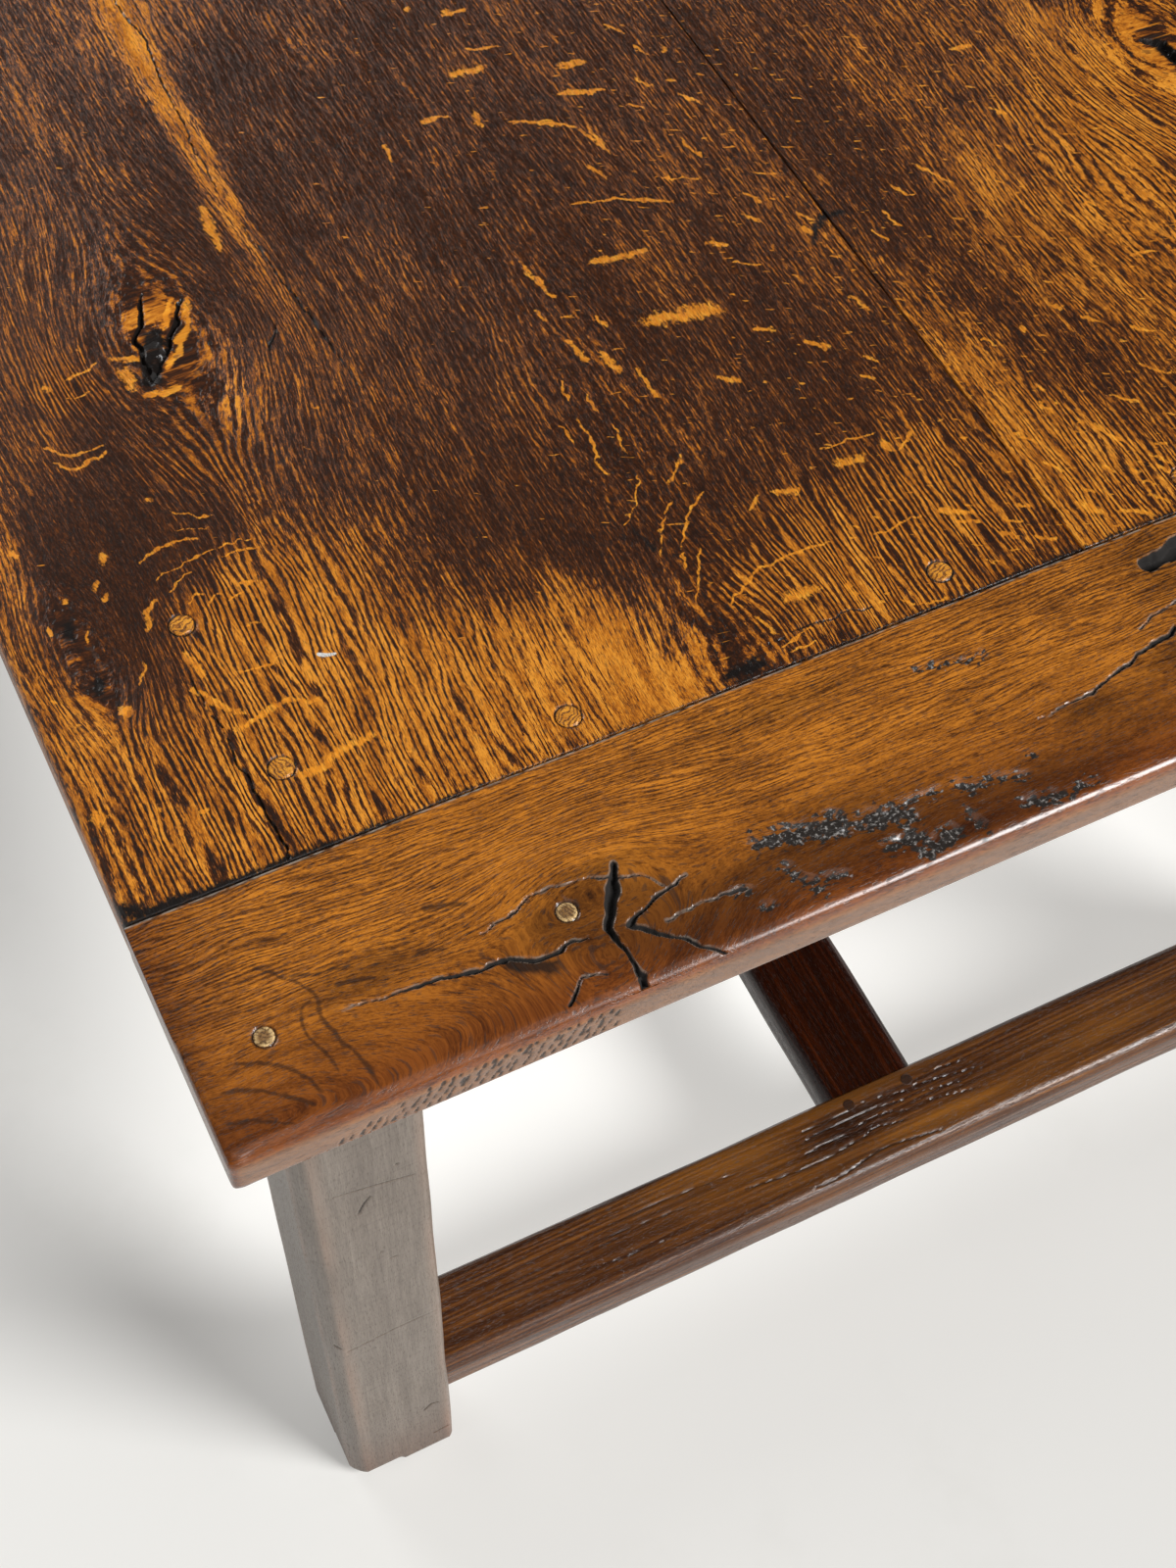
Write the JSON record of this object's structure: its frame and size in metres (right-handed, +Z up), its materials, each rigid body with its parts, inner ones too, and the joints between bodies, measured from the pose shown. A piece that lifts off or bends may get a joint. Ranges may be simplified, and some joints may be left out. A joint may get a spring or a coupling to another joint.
{
  "type": "farmhouse table",
  "caption": "Rectangular oak farmhouse dining table with a plank top, breadboard ends, square chamfered legs and a low H stretcher, held together by pegs.",
  "frame": {"origin": "on the floor under the middle of the top", "axes": "+X across the table to the right, +Y along the table away from the pictured end, +Z up"},
  "size_m": [0.94, 2, 0.76],
  "materials": {
    "plank_oak": "dark aged oak, waxed, satin",
    "breadboard_oak": "amber brown aged oak, waxed, satin",
    "leg_oak": "grey brown worn oak, dry satin",
    "stretcher_oak": "dark red brown oak, polished by feet",
    "frame_oak": "sawn aged oak, dull",
    "peg_oak": "golden brown oak, waxed",
    "pale_peg": "pale oak, waxed"
  },
  "bodies": {
    "root": {"plank_left": "plank_oak", "plank_right": "plank_oak", "plank_loose_tongue": "frame_oak", "breadboard_near": "breadboard_oak", "breadboard_far": "breadboard_oak", "leg_near_left": "leg_oak", "leg_near_right": "leg_oak", "leg_far_left": "leg_oak", "leg_far_right": "leg_oak", "end_rail_near": "frame_oak", "end_rail_far": "frame_oak", "side_rail_left": "frame_oak", "side_rail_right": "frame_oak", "cross_bearer_near": "frame_oak", "cross_bearer_far": "frame_oak", "end_stretcher_near": "stretcher_oak", "end_stretcher_far": "stretcher_oak", "centre_stretcher": "stretcher_oak", "breadboard_pegs_near": "pale_peg", "breadboard_pegs_far": "pale_peg", "end_rail_top_pegs_near": "peg_oak", "end_rail_top_pegs_far": "peg_oak", "side_rail_top_pegs_left": "peg_oak", "side_rail_top_pegs_right": "peg_oak", "leg_top_pegs_near": "peg_oak", "leg_top_pegs_far": "peg_oak", "bearer_top_pegs_near": "peg_oak", "bearer_top_pegs_far": "peg_oak", "rail_pegs_near_left": "peg_oak", "rail_pegs_near_right": "peg_oak", "rail_pegs_far_left": "peg_oak", "rail_pegs_far_right": "peg_oak", "stretcher_pegs_near": "peg_oak", "stretcher_pegs_far": "peg_oak", "centre_stretcher_pegs_near": "peg_oak", "centre_stretcher_pegs_far": "peg_oak"}
  },
  "joints": []
}
